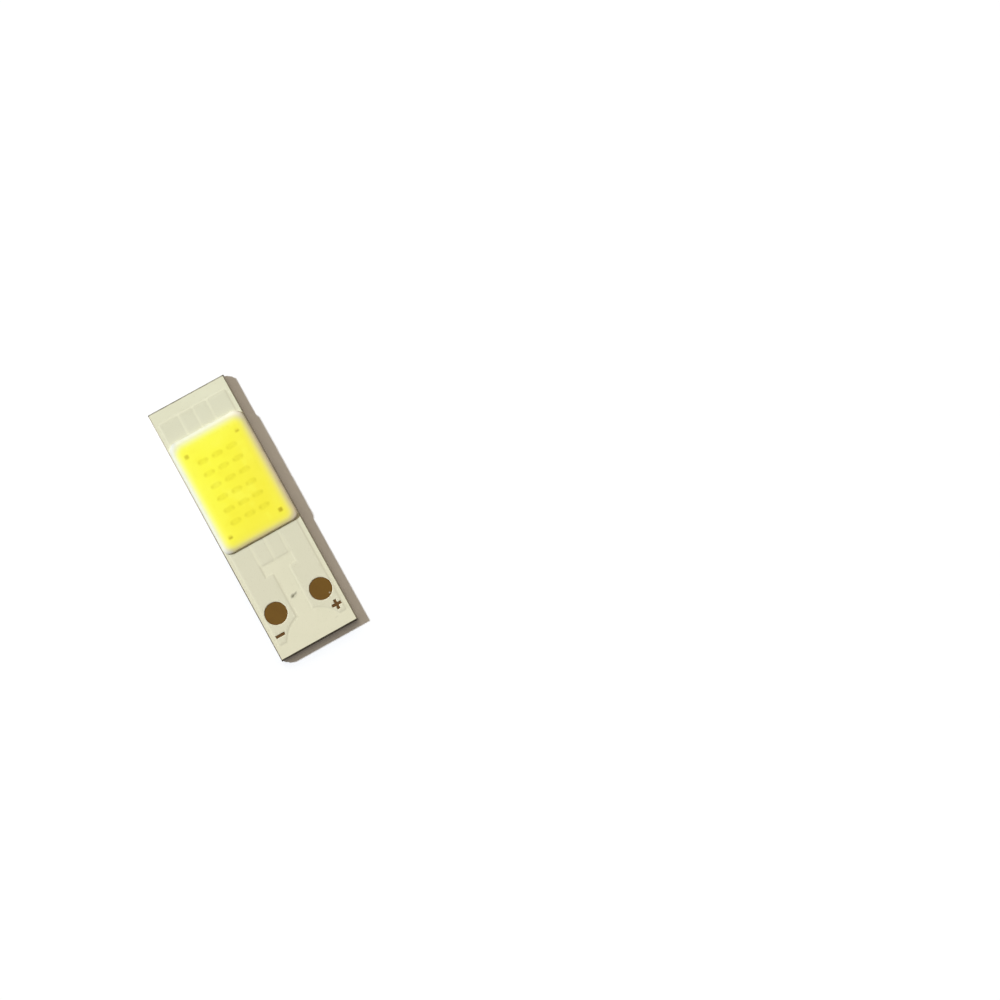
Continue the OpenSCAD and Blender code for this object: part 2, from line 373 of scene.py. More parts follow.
def add_piece(name, points, smooth_faces, flat_faces, finish, node):
    """Mesh object that stands for one CAD node. Faces come as lists of arrays, one row for each face."""
    groups = [*smooth_faces, *flat_faces]
    corners = np.concatenate([group.ravel() for group in groups])
    sizes = np.concatenate([np.full(len(group), group.shape[1]) for group in groups])
    smooth_count = sum(len(group) for group in smooth_faces)
    mesh = bpy.data.meshes.new(name)
    mesh.vertices.add(len(points))
    mesh.vertices.foreach_set("co", np.asarray(points, np.float32).ravel())
    mesh.loops.add(len(corners))
    mesh.loops.foreach_set("vertex_index", corners.astype(np.int32))
    mesh.polygons.add(len(sizes))
    mesh.polygons.foreach_set("loop_start", (np.cumsum(sizes) - sizes).astype(np.int32))
    mesh.polygons.foreach_set("use_smooth", np.arange(len(sizes)) < smooth_count)
    mesh.update(calc_edges=True)
    mesh.materials.append(finish.material)
    piece = bpy.data.objects.new(name, mesh)
    bpy.context.scene.collection.objects.link(piece)
    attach(piece, "root")
    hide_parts(node)
    print(name + ":", len(points), "points,", int((sizes - 2).sum()), "triangles")
    return piece


def carry(piece, name, values):
    """Stores one number, or one vector, at each point of the piece for its finish to read."""
    values = np.asarray(values, np.float32)
    kind, field = ("FLOAT", "value") if values.ndim == 1 else ("FLOAT_VECTOR", "vector")
    piece.data.attributes.new(name, kind, "POINT").data.foreach_set(field, values.ravel())


def point_rows(x, y, z):
    """One row of X, Y and Z for each point, from three arrays that have one shape or stretch to it."""
    return np.stack(np.broadcast_arrays(x, y, z), axis=-1).reshape(-1, 3)


def running_total(lengths):
    """Sum of the lengths so far, from 0 before the first one to their whole after the last."""
    return np.concatenate([[0.0], np.cumsum(lengths)])


def crowded_ends(count):
    """Numbers from -1 to 1 that crowd at both ends: the sine of equal steps over half a turn."""
    return np.sin(np.linspace(-math.pi / 2, math.pi / 2, count))


def smooth_step(share):
    """Passage from 0 to 1 with level ends: three times the square less twice the cube of the share."""
    share = np.clip(share, 0.0, 1.0)
    return share * share * (3.0 - 2.0 * share)


# %% [markdown]
# ## The relief under the mask
#
# Solder mask is a lacquer, and it shows the copper beneath it as a low step. To shape it, the script needs
# to know how far any point of the board is from the edge of the copper. That is a signed distance: negative
# on the copper, zero at its edge, positive beside it. Distances are easy to combine: the lesser of two is a
# union and the greater is a cut. The circuit is the same on both sides, so it is worked out on one side.

# %% Distance to the copper
TRACE_R = 0.25 * mm                                   # corner radius of the copper
BUS_STEP_Y = -7.75 * mm                               # where each bus widens towards its pad
KEEPOUT_R = 4.2 * mm                                  # copper-free circle at the near end

board_low, board_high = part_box("base_plate")
layer_low, layer_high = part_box("dielectric_layer")
mask_low, mask_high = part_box("solder_mask")
bus_low, bus_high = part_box("positive_bus")
link_low, link_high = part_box("link_strip_2")
pads = {mount["name"]: Vector(mount["pos_m"]) for mount in frame["record"]["mounts"]}
pad = pads["plus_pad"]
trace_gap = 2 * link_low.x


def rounded_distance(x, y, low, high, radius):
    """Signed distance to a rectangle with rounded corners: the distance to a rectangle that is smaller by
    the radius on every side, less the radius."""
    past_x = np.abs(x - (low[0] + high[0]) / 2) - (high[0] - low[0]) / 2 + radius
    past_y = np.abs(y - (low[1] + high[1]) / 2) - (high[1] - low[1]) / 2 + radius
    outside = np.hypot(np.maximum(past_x, 0.0), np.maximum(past_y, 0.0))
    return outside + np.minimum(np.maximum(past_x, past_y), 0.0) - radius


def copper_distance(x, y):
    """Signed distance to the circuit: a link strip, or a bus made of a narrow arm and a wide foot with the
    keep-out circle cut from it."""
    x = np.abs(x)
    link = rounded_distance(x, y, link_low, link_high, TRACE_R)
    arm = rounded_distance(x, y, (link_high.x + trace_gap, pad.y), bus_high, TRACE_R)
    foot = rounded_distance(x, y, bus_low, (bus_high.x, BUS_STEP_Y), TRACE_R)
    keepout = KEEPOUT_R - np.hypot(x, y - board_low.y)
    return np.minimum(link, np.maximum(np.minimum(arm, foot), keepout))


print("copper: its edge is", round(float(copper_distance(0.0, 0.0)) / mm, 3), "mm from the board's middle")

# %% [markdown]
# The lacquer flows before it cures, so it pools beside the copper and the step is lower than the copper is
# thick. It has a soft shoulder that starts some way in over the copper and ends outside it, which one smooth
# passage of the distance gives. In the narrow gaps between the strips, the lacquer never gets far down. The
# block that the strips make up together has a passage of its own there, and the higher of the two holds.

# %% Height of the mask
MASK_STEP = 0.03 * mm
STEP_INSIDE = 0.20 * mm                               # the shoulder starts this far in over the copper
STEP_WIDTH = 0.36 * mm
GAP_FILL = 0.8                                        # share of the step that fills the narrow gaps

low_top = mask_high.z - MASK_STEP


def block_distance(x, y):
    """Signed distance to the block of all four strips, without the gaps between them."""
    return rounded_distance(x, y, (-bus_high.x, link_low.y), bus_high, TRACE_R)


def over_copper(x, y):
    """Share of the way up the step: 1 over copper, the fill's share in the gaps and 0 elsewhere."""
    over_strips = 1.0 - smooth_step((copper_distance(x, y) + STEP_INSIDE) / STEP_WIDTH)
    over_block = 1.0 - smooth_step((block_distance(x, y) + STEP_INSIDE) / STEP_WIDTH)
    return np.maximum(over_strips, GAP_FILL * over_block)


def mask_height(x, y):
    """Height of the mask's face, from the lower level to the upper one along the step."""
    return low_top + (mask_high.z - low_top) * over_copper(x, y)


print("mask: levels", round(low_top / mm, 3), "and", round(mask_high.z / mm, 3), "mm")

# %% [markdown]
# ## Openings in the mask
#
# The mask is open at two round pads, at the minus and plus marks beside them, over each solder joint and at
# four sighting squares. All of them are signed distances too. The dice stand in equal rows and columns, so
# a point is first folded onto the nearest die and one formula serves for all eighteen.

# %% Distance to the openings
PAD_R = 1.475 * mm
MARK_LONG, MARK_WIDE, MARK_R = 1.3 * mm, 0.38 * mm, 0.05 * mm
MARK_X, MARK_Y = 4.05 * mm, -15.05 * mm
SIGHT_X, SIGHT_FROM_MIDDLE, SIGHT_HALF = 3.62 * mm, 5.85 * mm, 0.275 * mm
JOINT_IN = 0.2 * mm                                   # a joint starts this far from its die's middle

dice = {name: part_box(name) for name in frame["nodes"] if name.startswith("led_die")}
dice_x = np.unique(np.round([(low.x + high.x) / 2 for low, high in dice.values()], 7))
dice_y = np.unique(np.round([(low.y + high.y) / 2 for low, high in dice.values()], 7))
column_pitch, row_pitch = dice_x[1] - dice_x[0], dice_y[1] - dice_y[0]
field_y = (dice_y[0] + dice_y[-1]) / 2
solder_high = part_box("die_solder")[1]
joint_out = solder_high.x - dice_x[-1]
joint_half = solder_high.y - dice_y[-1]


def nearest_die(x, y):
    """Place of a point relative to the middle of the die nearest to it."""
    column = np.clip(np.round((x - dice_x[0]) / column_pitch), 0, len(dice_x) - 1)
    row = np.clip(np.round((y - dice_y[0]) / row_pitch), 0, len(dice_y) - 1)
    return x - dice_x[0] - column * column_pitch, y - dice_y[0] - row * row_pitch


def bar_distance(x, y, long, wide):
    """Signed distance to a rounded bar of a polarity mark."""
    low, high = (MARK_X - long / 2, MARK_Y - wide / 2), (MARK_X + long / 2, MARK_Y + wide / 2)
    return rounded_distance(x, y, low, high, MARK_R)


def opening_distance(x, y):
    """Signed distance to the nearest opening, negative inside it."""
    side = np.abs(x)
    round_pad = np.hypot(side - pad.x, y - pad.y) - PAD_R
    minus_bar = bar_distance(side, y, MARK_LONG, MARK_WIDE)
    plus_bar = bar_distance(x, y, MARK_WIDE, MARK_LONG)
    marks = np.minimum(minus_bar, plus_bar)
    die_x, die_y = nearest_die(x, y)
    joint_low, joint_high = (JOINT_IN, -joint_half), (joint_out, joint_half)
    joint = rounded_distance(np.abs(die_x), die_y, joint_low, joint_high, 0.0)
    sight_x, sight_y = side - SIGHT_X, np.abs(y - field_y) - SIGHT_FROM_MIDDLE
    sight = np.maximum(np.abs(sight_x), np.abs(sight_y)) - SIGHT_HALF
    return np.minimum.reduce([round_pad, marks, joint, sight])


print("dice:", len(dice_x), "columns by", len(dice_y), "rows, pitch in mm",
      round(column_pitch / mm, 2), "by", round(row_pitch / mm, 2))

# %% [markdown]
# ## A sheet with holes
#
# A hole in a sheet could be cut with a Boolean, but that leaves ragged little faces. Here the sheet is a
# grid whose lines crowd together along the copper's edges, where the relief is, and spread out under the
# gel. Where a grid edge crosses the rim of an opening, its nearer end is pulled onto the rim, so the rim
# is made of points that lie exactly on it. Triangles inside the openings are then left out.

# %% Grid lines of the mask
BESIDE_EDGE = np.arange(-4, 5) * 0.08 * mm            # lines beside each copper edge that runs across
IN_BORDER = 0.01 * mm                                 # a line this far in keeps the border's shading level
STEP_X = 0.075 * mm                                   # longest step between lines, anywhere across the board
ZONES_Y = (
    # where a zone along the board starts, longest step between its lines
    (mask_low.y, 0.12 * mm),
    (-16.8 * mm, 0.07 * mm),
    (-13.2 * mm, 0.1 * mm),
    (-10.8 * mm, 0.2 * mm),
    (-2.5 * mm, 0.5 * mm),
    (12.5 * mm, 0.2 * mm),
)


def crowded_lines(marks, zones):
    """Grid lines at every mark, with equal steps between marks. Zones are (start, longest step) pairs."""
    starts, steps = np.array(zones).T
    marks = np.unique(np.round(np.concatenate([marks, starts]), 8))
    middles = (marks[1:] + marks[:-1]) / 2
    counts = np.ceil(np.diff(marks) / steps[np.searchsorted(starts, middles) - 1]).astype(int)
    stretches = [
        np.linspace(first, last, count, endpoint=False)
        for first, last, count in zip(marks, marks[1:], counts)
    ]
    return np.append(np.concatenate(stretches), marks[-1])


edges_x = np.array((link_low.x, link_high.x, link_high.x + trace_gap, bus_low.x, bus_high.x))
edges_y = np.array((bus_low.y, BUS_STEP_Y, link_low.y, bus_high.y))
joint_x = dice_x[:, None] + np.array((-joint_out, -JOINT_IN, JOINT_IN, joint_out))
mark_edges = np.array((-MARK_LONG, -MARK_WIDE, MARK_WIDE, MARK_LONG)) / 2
sights_x = SIGHT_X + np.array((-SIGHT_HALF, SIGHT_HALF))
right_x = np.concatenate([edges_x, MARK_X + mark_edges, sights_x, [mask_high.x - IN_BORDER, mask_high.x]])
lines_x = crowded_lines(np.concatenate([-right_x, right_x, joint_x.ravel()]), [(mask_low.x, STEP_X)])
joint_y = dice_y[:, None] + np.array((-joint_half, joint_half))
sights_y = field_y + np.outer((-1, 1), SIGHT_FROM_MIDDLE + np.array((-SIGHT_HALF, SIGHT_HALF)))
across_y = (edges_y[:, None] + BESIDE_EDGE).ravel()
borders_y = [mask_low.y + IN_BORDER, mask_high.y - IN_BORDER, mask_high.y]
lines_y = crowded_lines(
    np.concatenate([across_y, joint_y.ravel(), MARK_Y + mark_edges, sights_y.ravel(), borders_y]),
    ZONES_Y,
)
print("mask grid:", len(lines_x), "by", len(lines_y), "lines")

# %% Cut the openings out of the grid
SNAP_PASSES = 3
PROBE = 0.001 * mm                                    # step for measuring a distance's slope


def cut_grid(lines_x, lines_y, distance):
    """Points and triangles of a grid without its openings. Points beside a rim move by their distance, down
    the distance's slope, onto the rim. A cell with one corner inside and the opposite one outside is split
    along the rim."""
    x, y = np.meshgrid(lines_x, lines_y)
    gap = distance(x, y)
    on_rim = np.zeros(gap.shape, bool)
    for rim, far in ((on_rim, gap), (on_rim.T, gap.T)):
        crosses = (far[1:] < 0) != (far[:-1] < 0)
        first_nearer = np.abs(far[:-1]) <= np.abs(far[1:])
        rim[:-1] |= crosses & first_nearer
        rim[1:] |= crosses & ~first_nearer
    for _ in range(SNAP_PASSES):
        slope_x = (distance(x + PROBE, y) - distance(x - PROBE, y)) / (2 * PROBE)
        slope_y = (distance(x, y + PROBE) - distance(x, y - PROBE)) / (2 * PROBE)
        gap = distance(x, y)
        x = np.where(on_rim, x - gap * slope_x, x)
        y = np.where(on_rim, y - gap * slope_y, y)
    side = np.where(on_rim, 0.0, np.sign(gap)).ravel()
    first, second, third, fourth = grid_quads(*x.shape).T
    split_other_way = side[first] * side[third] < 0
    one = np.stack([first, second, np.where(split_other_way, fourth, third)], axis=-1)
    two = np.stack([np.where(split_other_way, second, first), third, fourth], axis=-1)
    triangles = np.concatenate([one, two])
    x, y = x.ravel(), y.ravel()
    kept = distance(x[triangles].mean(1), y[triangles].mean(1)) > 0
    used, numbers = np.unique(triangles[kept], return_inverse=True)
    return x[used], y[used], numbers.reshape(-1, 3)


sheet_x, sheet_y, sheet_triangles = cut_grid(lines_x, lines_y, opening_distance)
print("mask sheet:", len(sheet_x), "points,", len(sheet_triangles), "triangles on its face")

# %% [markdown]
# ## Finish of the mask
#
# White solder mask is a satin lacquer, slightly cream here. Over copper it looks a touch greyer, because
# less light comes back through it, and greyest in a thin line along the copper's edge, where it is thinnest.
# The mesh carries the distance to that edge and the line. The lacquer is painted a little darker and warmer
# towards the pads, as painted shade where the light falls off.
# Close up it has a fine orange peel, soft clouds and stray specks. A brown stain runs along its far edge. A
# grey scuff lies between the pads where something rubbed it, and a faint smudge near the plus mark. Each is
# made of soft patches, in coordinates of their own that are turned to the way the rub ran.

# %% Solder mask lacquer
MASK_BARE_FAR, MASK_BARE_NEAR = paint(226, 225, 197), paint(223, 219, 191)
MASK_COPPER_FAR, MASK_COPPER_NEAR = paint(218, 217, 190), paint(217, 213, 187)
MASK_THIN, THIN_SHARE = paint(196, 191, 165), 0.26
EDGE_FADE = 0.12 * mm                                 # half width of the passage from copper to bare
MASK_CLOUD, CLOUD_SHARE = paint(214, 212, 183), 0.25
MASK_SPECK, SPECK_SHARE = paint(176, 168, 140), 0.25
MASK_STAIN = paint(104, 94, 68)
STAIN_FROM, STAIN_TO = 0.16 * mm, 0.02 * mm           # the stain starts and is full this far from the edge
SCUFF_GREY = paint(92, 88, 64)
SCUFFS = (
    # middle, half length, half width, turn, strength
    (Vector((-0.33, -11.40, 0.0)) * mm, 0.44 * mm, 0.32 * mm, math.radians(38), 0.90),
    (Vector((0.14, -11.30, 0.0)) * mm, 0.36 * mm, 0.22 * mm, math.radians(28), 0.50),
    (Vector((-0.10, -11.36, 0.0)) * mm, 0.85 * mm, 0.17 * mm, math.radians(27), 0.40),
    (Vector((0.02, -11.58, 0.0)) * mm, 0.60 * mm, 0.20 * mm, math.radians(27), 0.15),
    (Vector((3.27, -16.45, 0.0)) * mm, 0.45 * mm, 0.12 * mm, math.radians(12), 0.14),
)


def solder_mask_lacquer():
    """Cream lacquer, greyer over copper, with clouds, specks, a stained far edge, scuffs and a fine peel."""
    lacquer = Finish("solder_mask_lacquer", Specular_IOR_Level=0.25)
    y = lacquer.axes()[1]
    # painted shade: the lacquer goes a little darker and warmer towards the near end, where the light falls
    # off
    nearness = lacquer.span(y, mask_high.y, mask_low.y)
    bare = lacquer.mix(nearness, MASK_BARE_FAR, MASK_BARE_NEAR)
    on_copper = lacquer.mix(nearness, MASK_COPPER_FAR, MASK_COPPER_NEAR)
    beside = lacquer.attribute("beside_copper")
    colour = lacquer.mix(lacquer.span(beside, EDGE_FADE, -EDGE_FADE), bare, on_copper)
    colour = lacquer.mix(lacquer.times(lacquer.attribute("thin"), THIN_SHARE), colour, MASK_THIN)
    clouds = lacquer.span(lacquer.noise(2.6 * mm, detail=4.0), 0.42, 0.72, 0.0, CLOUD_SHARE)
    colour = lacquer.mix(clouds, colour, MASK_CLOUD)
    specks = lacquer.span(lacquer.noise(0.16 * mm, detail=1.0), 0.70, 0.76, 0.0, SPECK_SHARE)
    colour = lacquer.mix(specks, colour, MASK_SPECK)
    stain = lacquer.span(y, mask_high.y - STAIN_FROM, mask_high.y - STAIN_TO)
    uneven = lacquer.span(lacquer.noise(0.8 * mm, detail=3.0), 0.3, 0.6, 0.5, 0.85)
    colour = lacquer.mix(lacquer.times(stain, uneven), colour, MASK_STAIN)
    for middle, half_long, half_wide, turn, strength in SCUFFS:
        local = lacquer.local(middle, (half_long, half_wide, 1.0), turn)
        patch = lacquer.span(lacquer.length(local), 1.0, 0.1)
        streaks = lacquer.span(lacquer.noise(0.6, detail=3.0, place=local), 0.30, 0.60, 0.55, 1.0)
        colour = lacquer.mix(lacquer.times(patch, streaks, strength), colour, SCUFF_GREY)
    lacquer.set("Base Color", colour)
    lacquer.roughen(lacquer.noise(0.7 * mm), 0.66, 0.72)
    lacquer.bump(lacquer.noise(0.32 * mm), 0.004 * mm)
    return lacquer.done()


mask_finish = solder_mask_lacquer()

# %% [markdown]
# The sheet becomes a closed film: its face, a back one lacquer thickness lower that rests on the copper and
# on the insulating layer, and a narrow wall round every rim. A rim is found from the triangles themselves,
# because an edge that belongs to one triangle only is an edge of the sheet. The face rolls off a little
# towards each opening, as lacquer does.

# %% Build the mask
ROLL_WIDTH, ROLL_DEPTH = 0.09 * mm, 0.014 * mm
BACK_STEP = 0.05 * mm                                 # the film's back leaves the copper within this width
THIN_AT, THIN_HALF = -0.06 * mm, 0.14 * mm            # the thin line beside the copper's edge
THIN_FROM, THIN_TO = -0.45 * mm, -0.15 * mm           # it fades inside the block of strips


def rim_edges(triangles):
    """Edges that only one triangle has, in that triangle's own direction."""
    edges = triangles[:, [0, 1, 1, 2, 2, 0]].reshape(-1, 2)
    _, place, count = np.unique(np.sort(edges, axis=1), axis=0, return_index=True, return_counts=True)
    return edges[place[count == 1]]


def thin_line(x, y):
    """Share of the thin line along the copper's edge, without the edges of the narrow gaps."""
    line = smooth_step(1.0 - np.abs(copper_distance(x, y) - THIN_AT) / THIN_HALF)
    return line * smooth_step((block_distance(x, y) - THIN_FROM) / (THIN_TO - THIN_FROM))


roll = ROLL_DEPTH * np.clip(1.0 - opening_distance(sheet_x, sheet_y) / ROLL_WIDTH, 0.0, 1.0) ** 2
face_z = mask_height(sheet_x, sheet_y) - roll
beside_copper = copper_distance(sheet_x, sheet_y)
back_share = 1.0 - smooth_step(beside_copper / BACK_STEP)
back_z = layer_high.z + (bus_high.z - layer_high.z) * back_share
mask_points = np.concatenate([point_rows(sheet_x, sheet_y, z) for z in (face_z, back_z)])
to_back = len(sheet_x)
sheet_back = sheet_triangles[:, ::-1] + to_back
rim_from, rim_to = rim_edges(sheet_triangles).T
sheet_wall = np.stack([rim_to, rim_from, rim_from + to_back, rim_to + to_back], axis=-1)
mask_piece = add_piece("mask_film", mask_points, [sheet_triangles], [sheet_back, sheet_wall],
                       mask_finish, "solder_mask")
carry(mask_piece, "beside_copper", np.tile(beside_copper, 2))
carry(mask_piece, "thin", np.tile(thin_line(sheet_x, sheet_y), 2))

# %% [markdown]
# ## The dam
#
# The dam is a bead of white silicone, laid from a needle in one closed lap. A curve with a bevel would do,
# but a profile carried along a path by hand lets the bead vary as a real one does. The path is a rounded
# rectangle walked by its length. A core point moves along the sides and waits at the corners, while an arm
# of the corner's radius waits on the sides and turns at the corners. A longer or shorter arm gives every
# line of the bead. An arm never gets shorter than nothing, so the lines don't cross inside the corners.

# %% Path round a rounded rectangle
DAM_CORNER = 0.5 * mm                                 # corner radius along the bead's middle
BEAD_HALF = 0.6 * mm                                  # half of the bead's width at its foot
PATH_STEP = 0.1 * mm
SMALLEST_CORNER = 0.02 * mm                           # lines inside the corner's centre turn this tightly


def rounded_walk(half_x, half_y, radius, step):
    """Core points and arm angles at equal steps round a rounded rectangle about the origin, starting at the
    low end of its +X side and going counter-clockwise."""
    core_x, core_y = half_x - radius, half_y - radius
    corner = radius * math.pi / 2
    lengths = np.array((2 * core_y, corner, 2 * core_x, corner) * 2)
    knots = running_total(lengths)
    count = round(knots[-1] / step)
    walked = np.linspace(0.0, knots[-1], count, endpoint=False)
    x = np.interp(walked, knots, core_x * np.array((1, 1, 1, -1, -1, -1, -1, 1, 1)))
    y = np.interp(walked, knots, core_y * np.array((-1, 1, 1, 1, 1, -1, -1, -1, -1)))
    angle = np.interp(walked, knots, math.pi / 2 * np.array((0, 0, 1, 1, 2, 2, 3, 3, 4)))
    return x, y, angle, walked / knots[-1]


dam_low, dam_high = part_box("dam")
gel_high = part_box("phosphor_gel")[1]
dam_y = (dam_low.y + dam_high.y) / 2
bead_height = dam_high.z - mask_high.z
bead_x, bead_y = dam_high.x - BEAD_HALF, dam_high.y - dam_y - BEAD_HALF
walk_x, walk_y, walk_angle, walk_share = rounded_walk(bead_x, bead_y, DAM_CORNER, PATH_STEP)
print("dam path:", len(walk_x), "stations, bead", round(bead_height / mm, 3), "mm high")

# %% [markdown]
# ## Colour across the rim
#
# The white bead is translucent and the gel runs up against it, so yellow fades into white over about a
# millimetre with no line between them. Dam and gel therefore share one scale: how far a point lies from the
# middle of the bead, in half widths, from minus one at the bead's inner foot to plus one at its outer foot.
# Each mesh carries that number, and both finishes use the same rows of colours along it. The phosphor settled
# towards the pads and a little to the plus side while the gel cured, so the white band is wider at the far
# side. The near and plus sides face away from the sun, and their colours are painted shade and light: a
# darker yellow, and a lighter, warmer white.

# %% Silicone finish
RIM_FROM, RIM_TO = -4.5, 1.6
RIM_DRIFT_X, RIM_DRIFT_Y = 0.085 * mm, -0.31 * mm     # how far the yellow settled
RIM_COLOURS = (
    # place on the scale, colour at the sunlit far and minus sides, colour at the near and plus sides, where
    # the yellow is painted darker and the white painted lighter and warmer, as painted shade and light
    (-4.5, paint(253, 250, 69), paint(248, 239, 66)),
    (-1.6, paint(253, 251, 78), paint(249, 240, 74)),
    (-1.0, paint(252, 250, 86), paint(252, 242, 87)),
    (-0.68, paint(250, 250, 95), paint(252, 242, 101)),
    (-0.35, paint(247, 247, 119), paint(248, 238, 123)),
    (0.0, paint(244, 244, 143), paint(241, 230, 141)),
    (0.32, paint(239, 240, 166), paint(239, 227, 162)),
    (0.57, paint(233, 234, 182), paint(240, 227, 181)),
    (0.82, paint(232, 233, 196), paint(245, 232, 202)),
    (1.15, paint(226, 227, 202), paint(250, 238, 214)),
    (1.6, paint(212, 213, 190), paint(246, 235, 214)),
)
SHADED_FROM, SHADED_TO = -0.9, 0.9                        # in half sizes of the dam, added along X and -Y
SILICONE_CLOUD = paint(222, 220, 180)
FOOT_SHADE, FOOT_SHADE_SHARE = paint(190, 188, 160), 0.65
MINUS_SIDE_SHADE, MINUS_SIDE_SHADE_SHARE = paint(190, 194, 200), 0.42
RIM_CORNER = 1.15 * mm                                # the yellow's corners are rounder than the bead's
RIM_SHORT_Y = 0.04 * mm                               # and its ends stop this much short of it


def rim_scale(x, y):
    """Distance from the bead's middle line in half widths, negative towards the gel."""
    half_y = bead_y - RIM_SHORT_Y
    low, high = (-bead_x, dam_y - half_y), (bead_x, dam_y + half_y)
    return rounded_distance(x - RIM_DRIFT_X, y - RIM_DRIFT_Y, low, high, RIM_CORNER) / BEAD_HALF


def dam_axes(finish):
    """X and Y from the dam's middle, in half sizes of the bead's middle line."""
    return finish.axes(finish.local((0.0, dam_y, 0.0), (bead_x, bead_y, 1.0)))[:2]


def shaded_side(finish):
    """Share that goes from 0 at the sunlit far and minus sides of the dam to 1 at the shaded near and plus
    sides.
    """
    return finish.span(finish.minus(*dam_axes(finish)), SHADED_FROM, SHADED_TO)


def rim_colour(finish):
    """Colour from yellow gel to white bead along the rim scale, with painted shade and light on the near and
    plus sides.
    """
    reach = RIM_TO - RIM_FROM
    share = finish.math("DIVIDE", finish.minus(finish.attribute("rim"), RIM_FROM), reach)
    # painted light and shade: one row of colours for the sunlit sides, one for the sides away from the sun
    lit_colours = finish.ramp(share, [((at - RIM_FROM) / reach, colour) for at, colour, _ in RIM_COLOURS])
    shaded_colours = finish.ramp(share, [((at - RIM_FROM) / reach, colour) for at, _, colour in RIM_COLOURS])
    return finish.mix(shaded_side(finish), lit_colours, shaded_colours)


def dam_silicone():
    """White silicone, faintly uneven, with the gel's yellow showing through its inner side. Its sunlit minus
    side is painted greyer, and its foot on the sunlit far and minus sides a little darker, as painted shade."""
    silicone = Finish("dam_silicone", Specular_IOR_Level=0.3)
    clouds = silicone.span(silicone.noise(0.9 * mm, detail=3.0), 0.4, 0.7, 0.0, 0.12)
    colour = silicone.mix(clouds, rim_colour(silicone), SILICONE_CLOUD, "MULTIPLY")
    outwards = silicone.attribute("aside")
    # painted shade: the minus side, which faces the sun, is painted greyer towards its outer foot
    minus_side = silicone.span(dam_axes(silicone)[0], -0.82, -0.98)
    bare = silicone.times(silicone.span(outwards, -0.3, 0.9, 0.0, MINUS_SIDE_SHADE_SHARE), minus_side)
    colour = silicone.mix(bare, colour, MINUS_SIDE_SHADE)
    # painted shade: the foot is painted a little darker on the sunlit far and minus sides
    at_foot = silicone.span(outwards, 0.72, 1.0, 0.0, FOOT_SHADE_SHARE)
    foot_shade = silicone.times(at_foot, silicone.minus(1.0, shaded_side(silicone)))
    silicone.set("Base Color", silicone.mix(foot_shade, colour, FOOT_SHADE))
    silicone.roughen(silicone.noise(0.4 * mm), 0.58, 0.66)
    silicone.bump(silicone.noise(0.5 * mm), 0.006 * mm)
    return silicone.done()


dam_finish = dam_silicone()

# %% [markdown]
# The bead's section is a slumped half round. Its crown is a parabola, tipped outwards on the outer side so
# that it carries on the slope of the gel, and a superellipse of a high power closes it with steep sides. Its
# foot follows the relief of the mask, so the bead sinks into the gaps between the copper strips.
#
# The outer half wavers by a hundredth or two along the lap, from a few sine waves with seeded phases, and
# the foot spreads slightly where it wets the mask. The needle slowed down at the near corners and hurried
# round the far ones, so the bead is fuller at the first and leaner at the others. The crest stays true,
# because the gel meets it there.

# %% Build the dam
BEAD_ROWS = 41
CROWN_TIP, CROWN_FALL = 0.180, 0.260                  # slope and fall of the crown, as shares of its height
SIDE_POWER = 9.0                                      # a plain ellipse has 2, and more is steeper
FOOT_SPREAD = 0.03 * mm
FOOT_BITE = 0.004 * mm                                # the foot sinks this far into the mask
WAVER = 0.012                                         # share of the bead's half width
NEAR_FULLER, FAR_LEANER = 0.10 * mm, 0.06 * mm        # at the middle of a corner
WAVES = np.array((3, 7, 12, 19, 31))                  # waves in one lap
seeded = np.random.default_rng(5)


def bead_rise(aside):
    """Height share at a place from -1, the inner foot, to 1, the outer foot: one less the tip on the outer
    side and less the fall times the square, times the superellipse's height there."""
    crown = 1.0 - CROWN_TIP * np.maximum(aside, 0.0) - CROWN_FALL * aside ** 2
    return crown * np.maximum(1.0 - np.abs(aside) ** SIDE_POWER, 0.0) ** (1 / SIDE_POWER)


def waver(share):
    """Sum of sine waves round the lap, each with a seeded phase, of about unit size."""
    phases = seeded.uniform(0, 2 * math.pi, len(WAVES))
    return np.sin(2 * math.pi * share[:, None] * WAVES + phases).sum(1) / math.sqrt(len(WAVES) / 2)


aside = crowded_ends(BEAD_ROWS)
up = bead_rise(aside)
outer_half = BEAD_HALF * (1 + WAVER * waver(walk_share))[:, None]
spread = FOOT_SPREAD * np.sign(aside) * (1 - up) ** 4
fuller = np.where(np.sin(walk_angle) < 0, NEAR_FULLER, -FAR_LEANER) * np.sin(2 * walk_angle) ** 2
across = np.where(aside > 0, outer_half + fuller[:, None], BEAD_HALF) * aside + spread
across = np.concatenate([across[:, :1], across, across[:, -1:]], axis=1)
aside = np.concatenate([aside[:1], aside, aside[-1:]])
arm = np.maximum(DAM_CORNER + across, SMALLEST_CORNER)
bead_px = walk_x[:, None] + arm * np.cos(walk_angle)[:, None]
bead_py = walk_y[:, None] + arm * np.sin(walk_angle)[:, None] + dam_y
foot_z = mask_height(bead_px, bead_py) - FOOT_BITE
rise = np.broadcast_to(mask_high.z + bead_height * up, (len(walk_x), BEAD_ROWS))
bead_z = np.concatenate([foot_z[:, :1], rise, foot_z[:, -1:]], axis=1)
dam_points = point_rows(bead_px, bead_py, bead_z)
dam_quads = grid_quads(*bead_px.shape, around_rows=True, around_columns=True).reshape(*bead_px.shape, 4)
dam_piece = add_piece("dam_bead", dam_points, [dam_quads[:, :-1].reshape(-1, 4)], [dam_quads[:, -1]],
                      dam_finish, "dam")
carry(dam_piece, "rim", rim_scale(dam_points[:, 0], dam_points[:, 1]))
carry(dam_piece, "aside", np.tile(aside, len(walk_x)))

